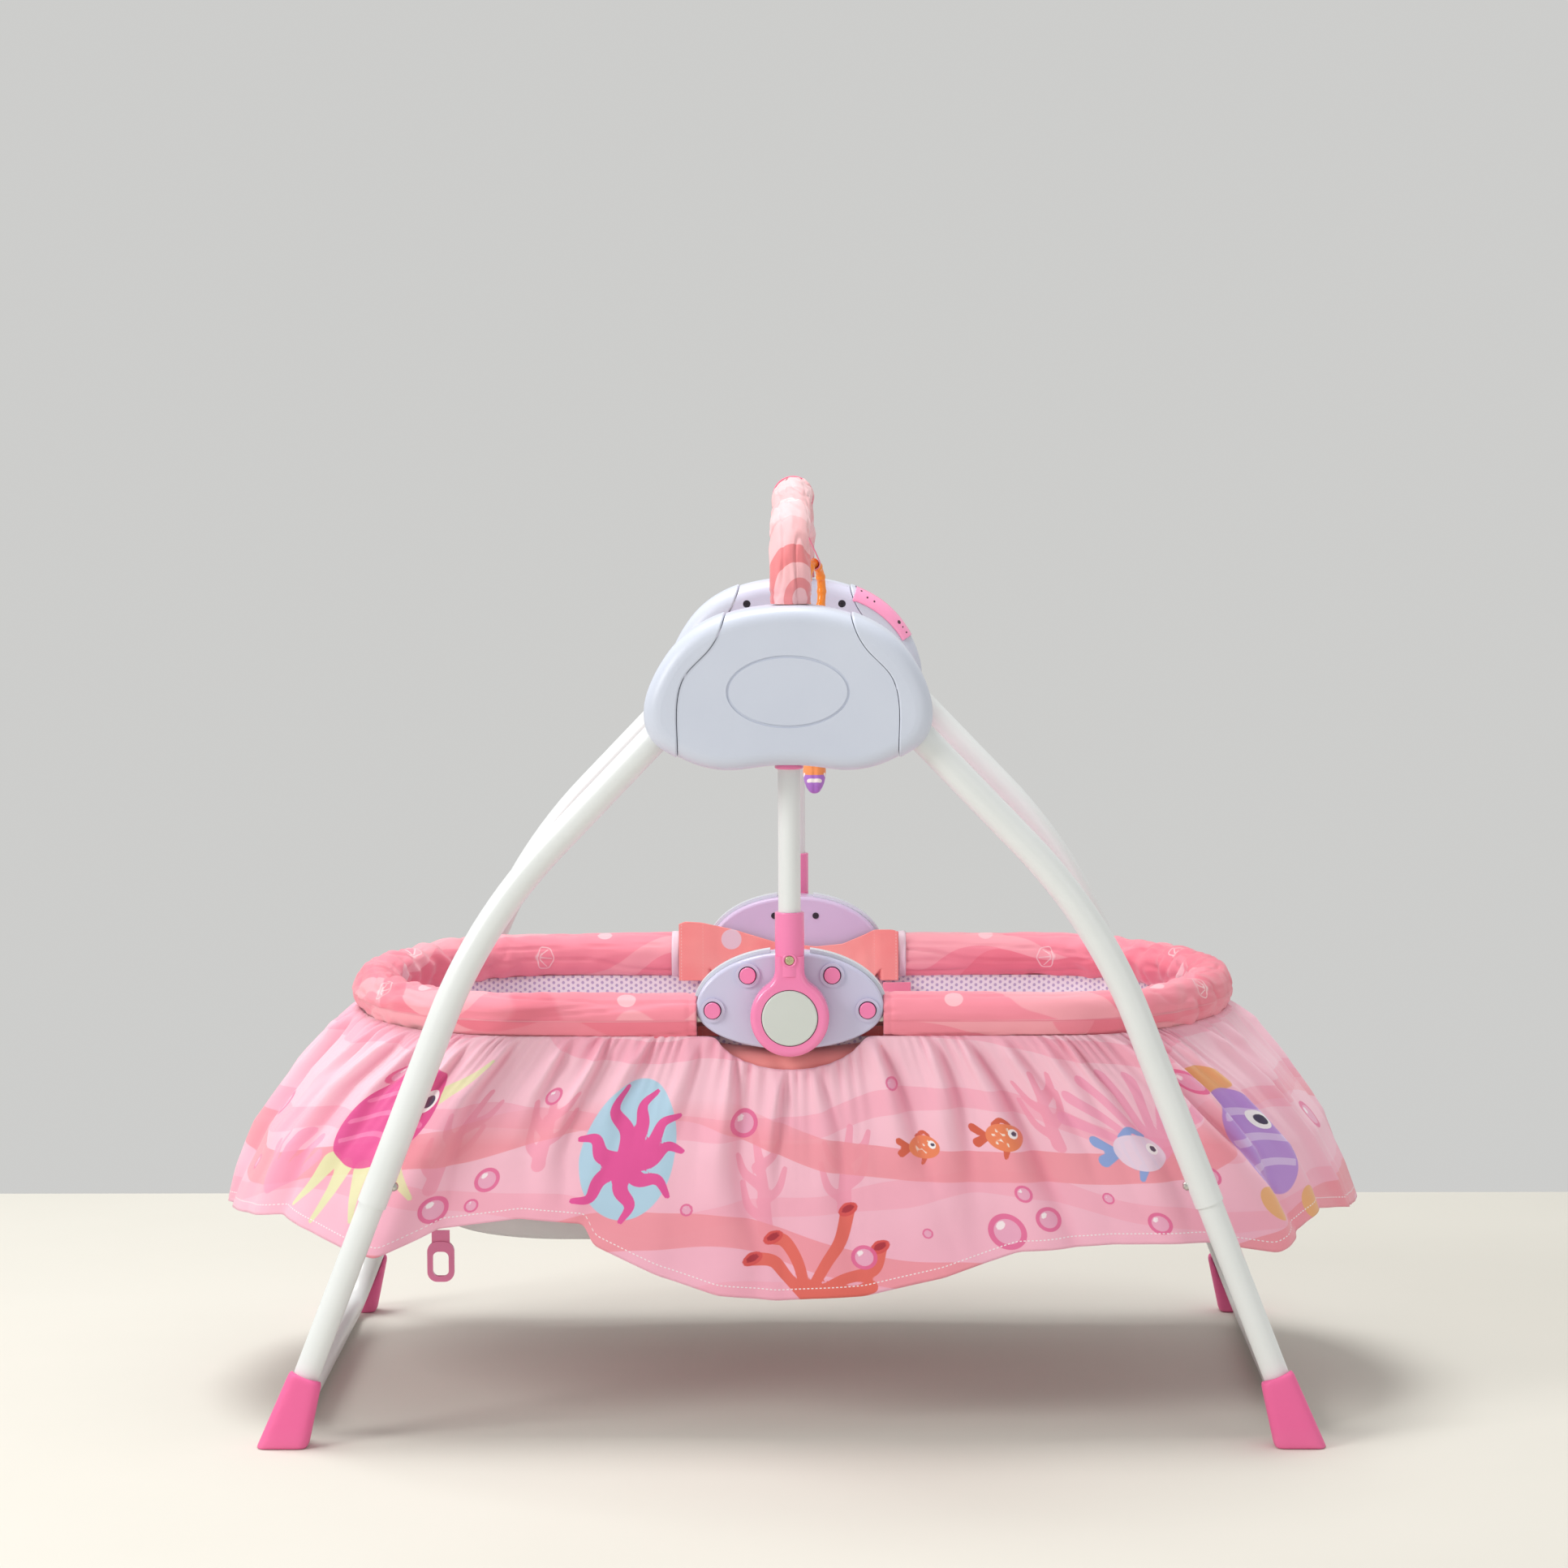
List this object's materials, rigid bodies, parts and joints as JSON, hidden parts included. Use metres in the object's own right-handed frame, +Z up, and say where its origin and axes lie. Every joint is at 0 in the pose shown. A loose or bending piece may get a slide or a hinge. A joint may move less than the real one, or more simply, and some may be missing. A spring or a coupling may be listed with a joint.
{
  "type": "baby swing",
  "caption": "Electric baby cradle swing with tube A-frames, hub housings, swing arms, a padded oval rim, a fabric tub with a long skirt, and a toy bar.",
  "frame": {"origin": "on the floor, at the centre of the stance", "axes": "+X along the cradle's length, +Y from the front hub to the rear hub, +Z up"},
  "size_m": [0.993, 0.609, 0.812],
  "materials": {
    "tube_paint": "satin",
    "hub_plastic": "satin",
    "plate_plastic": "satin",
    "plate_inner": "satin",
    "pink_plastic": "gloss",
    "boot_rubber": "matte",
    "white_plastic": "gloss",
    "steel": "brushed",
    "acetal": "matte",
    "dark_plastic": "matte",
    "copper": "varnished",
    "board": "satin",
    "magnet": "nickel",
    "coral_fabric": "knit",
    "tub_fabric": "mesh",
    "skirt_fabric": "woven",
    "sheet_fabric": "woven",
    "ring_plastic": "gloss",
    "plush": "plush"
  },
  "bodies": {
    "frame": {"front_left_leg": "tube_paint", "front_right_leg": "tube_paint", "rear_left_leg": "tube_paint", "rear_right_leg": "tube_paint", "left_base_tube": "tube_paint", "right_base_tube": "tube_paint", "feet": "boot_rubber", "leg_sockets": "hub_plastic", "front_hub_cover": "hub_plastic", "front_hub_back": "hub_plastic", "rear_hub_cover": "hub_plastic", "rear_hub_back": "hub_plastic", "hub_screws": "steel", "pivot_shafts": "steel", "drive_coil": "copper", "control_board": "board", "speaker": "dark_plastic", "dc_jack": "dark_plastic", "control_panel": "pink_plastic"},
    "swing": {"arm_hangers": "acetal", "pivot_bushes": "acetal", "arm_tubes": "tube_paint", "arm_collars": "pink_plastic", "arm_sockets": "pink_plastic", "arm_screws": "steel", "drive_magnet": "magnet"},
    "cradle": {"front_side_plate": "plate_plastic", "rear_side_plate": "plate_plastic", "plate_backs": "plate_inner", "plate_trims": "white_plastic", "plate_screws": "steel", "tilt_pins": "steel", "rim_tubes": "steel", "left_rim_pad": "coral_fabric", "right_rim_pad": "coral_fabric", "tub": "tub_fabric", "mattress": "sheet_fabric", "skirt": "skirt_fabric", "strap_loop": "pink_plastic"},
    "toy_bar": {"toy_bar_tube": "steel", "toy_bar_sleeve": "coral_fabric", "toy_loop": "coral_fabric"},
    "toy_ring": {"toy_ring": "ring_plastic"},
    "plush_fish": {"plush_fish": "plush"},
    "front_left_lock_pin": {"front_left_lock_pin": "steel"},
    "front_right_lock_pin": {"front_right_lock_pin": "steel"},
    "front_release_cap": {"front_release_cap": "white_plastic"},
    "rear_left_lock_pin": {"rear_left_lock_pin": "steel"},
    "rear_right_lock_pin": {"rear_right_lock_pin": "steel"},
    "rear_release_cap": {"rear_release_cap": "white_plastic"},
    "front_upper_left_button": {"front_upper_left_button": "pink_plastic"},
    "front_upper_right_button": {"front_upper_right_button": "pink_plastic"},
    "front_lower_left_button": {"front_lower_left_button": "pink_plastic"},
    "front_lower_right_button": {"front_lower_right_button": "pink_plastic"},
    "rear_upper_left_button": {"rear_upper_left_button": "pink_plastic"},
    "rear_upper_right_button": {"rear_upper_right_button": "pink_plastic"},
    "rear_lower_left_button": {"rear_lower_left_button": "pink_plastic"},
    "rear_lower_right_button": {"rear_lower_right_button": "pink_plastic"},
    "power_key": {"power_key": "white_plastic"},
    "music_key": {"music_key": "white_plastic"}
  },
  "joints": [
    {"name": "swing", "type": "hinge", "parent": "frame", "child": "swing", "pos_m": [0, 0, 0.648], "axis": [0, 1, 0], "range_deg": [-12, 12]},
    {"name": "cradle_tilt", "type": "hinge", "parent": "swing", "child": "cradle", "pos_m": [0, 0, 0.3613], "axis": [0, 1, 0], "range_deg": [-5, 5]},
    {"name": "front_left_lock_pin_press", "type": "slide", "parent": "frame", "child": "front_left_lock_pin", "axis": [-0.9323, 0, 0.3616], "range_m": [0, 0.0032], "stiffness_N_per_m": 1200, "springref_m": -0.002},
    {"name": "front_right_lock_pin_press", "type": "slide", "parent": "frame", "child": "front_right_lock_pin", "axis": [0.9323, 0, 0.3616], "range_m": [0, 0.0032], "stiffness_N_per_m": 1200, "springref_m": -0.002},
    {"name": "front_release_cap_press", "type": "slide", "parent": "swing", "child": "front_release_cap", "axis": [0, 1, 0], "range_m": [0, 0.0025], "stiffness_N_per_m": 600, "springref_m": -0.002},
    {"name": "front_upper_left_press", "type": "slide", "parent": "cradle", "child": "front_upper_left_button", "axis": [0, 1, 0], "range_m": [0, 0.003], "stiffness_N_per_m": 400, "springref_m": -0.002},
    {"name": "front_upper_right_press", "type": "slide", "parent": "cradle", "child": "front_upper_right_button", "axis": [0, 1, 0], "range_m": [0, 0.003], "stiffness_N_per_m": 400, "springref_m": -0.002},
    {"name": "front_lower_left_press", "type": "slide", "parent": "cradle", "child": "front_lower_left_button", "axis": [0, 1, 0], "range_m": [0, 0.003], "stiffness_N_per_m": 400, "springref_m": -0.002},
    {"name": "front_lower_right_press", "type": "slide", "parent": "cradle", "child": "front_lower_right_button", "axis": [0, 1, 0], "range_m": [0, 0.003], "stiffness_N_per_m": 400, "springref_m": -0.002},
    {"name": "rear_left_lock_pin_press", "type": "slide", "parent": "frame", "child": "rear_left_lock_pin", "axis": [-0.9323, 0, 0.3616], "range_m": [0, 0.0032], "stiffness_N_per_m": 1200, "springref_m": -0.002},
    {"name": "rear_right_lock_pin_press", "type": "slide", "parent": "frame", "child": "rear_right_lock_pin", "axis": [0.9323, 0, 0.3616], "range_m": [0, 0.0032], "stiffness_N_per_m": 1200, "springref_m": -0.002},
    {"name": "rear_release_cap_press", "type": "slide", "parent": "swing", "child": "rear_release_cap", "axis": [0, -1, 0], "range_m": [0, 0.0025], "stiffness_N_per_m": 600, "springref_m": -0.002},
    {"name": "rear_upper_left_press", "type": "slide", "parent": "cradle", "child": "rear_upper_left_button", "axis": [0, -1, 0], "range_m": [0, 0.003], "stiffness_N_per_m": 400, "springref_m": -0.002},
    {"name": "rear_upper_right_press", "type": "slide", "parent": "cradle", "child": "rear_upper_right_button", "axis": [0, -1, 0], "range_m": [0, 0.003], "stiffness_N_per_m": 400, "springref_m": -0.002},
    {"name": "rear_lower_left_press", "type": "slide", "parent": "cradle", "child": "rear_lower_left_button", "axis": [0, -1, 0], "range_m": [0, 0.003], "stiffness_N_per_m": 400, "springref_m": -0.002},
    {"name": "rear_lower_right_press", "type": "slide", "parent": "cradle", "child": "rear_lower_right_button", "axis": [0, -1, 0], "range_m": [0, 0.003], "stiffness_N_per_m": 400, "springref_m": -0.002},
    {"name": "power_key_press", "type": "slide", "parent": "frame", "child": "power_key", "axis": [-0.7902, 0, -0.6129], "range_m": [0, 0.0012], "stiffness_N_per_m": 400, "springref_m": -0.002},
    {"name": "music_key_press", "type": "slide", "parent": "frame", "child": "music_key", "axis": [-0.5358, 0, -0.8443], "range_m": [0, 0.0012], "stiffness_N_per_m": 400, "springref_m": -0.002},
    {"name": "toy_bar_lift", "type": "slide", "parent": "frame", "child": "toy_bar", "axis": [0, 0, 1], "range_m": [0, 0.06]},
    {"name": "toy_ring_swing", "type": "hinge", "parent": "toy_bar", "child": "toy_ring", "pos_m": [0.02, 0, 0.736], "axis": [0, 1, 0], "range_deg": [-15, 15]},
    {"name": "plush_fish_swing", "type": "hinge", "parent": "toy_ring", "child": "plush_fish", "pos_m": [0.02, 0, 0.6796], "axis": [0, 1, 0], "range_deg": [-20, 20]}
  ]
}
